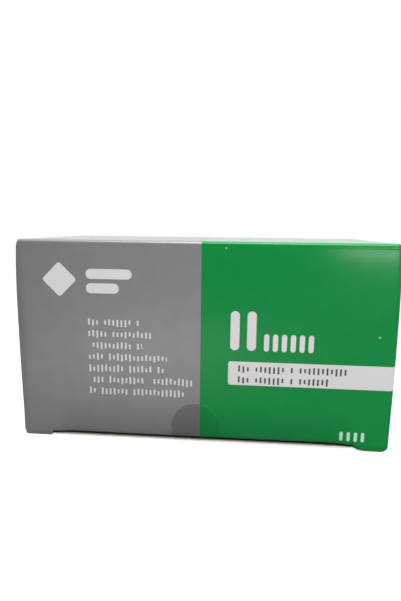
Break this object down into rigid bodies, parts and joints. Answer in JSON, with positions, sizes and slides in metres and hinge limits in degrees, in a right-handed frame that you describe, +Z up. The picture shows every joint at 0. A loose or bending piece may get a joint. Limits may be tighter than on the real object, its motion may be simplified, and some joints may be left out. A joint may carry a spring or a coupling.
{
  "type": "pen needle carton",
  "caption": "Sealed folding carton of pen needles, with a slit-locked lid panel in front held shut by a clear round seal, printed in a grey half and a green half.",
  "frame": {"origin": "on the surface that the carton stands on, in the middle of its width and depth", "axes": "+X along the width towards the green half, +Y from the lid towards the back, +Z up from the base wall to the top wall"},
  "size_m": [0.1317, 0.0651, 0.0716],
  "materials": {
    "printed_board": "satin varnish over grey and green print",
    "clear_film": "clear gloss film"
  },
  "bodies": {
    "root": {"carton": "printed_board", "seal": "clear_film"}
  },
  "joints": []
}
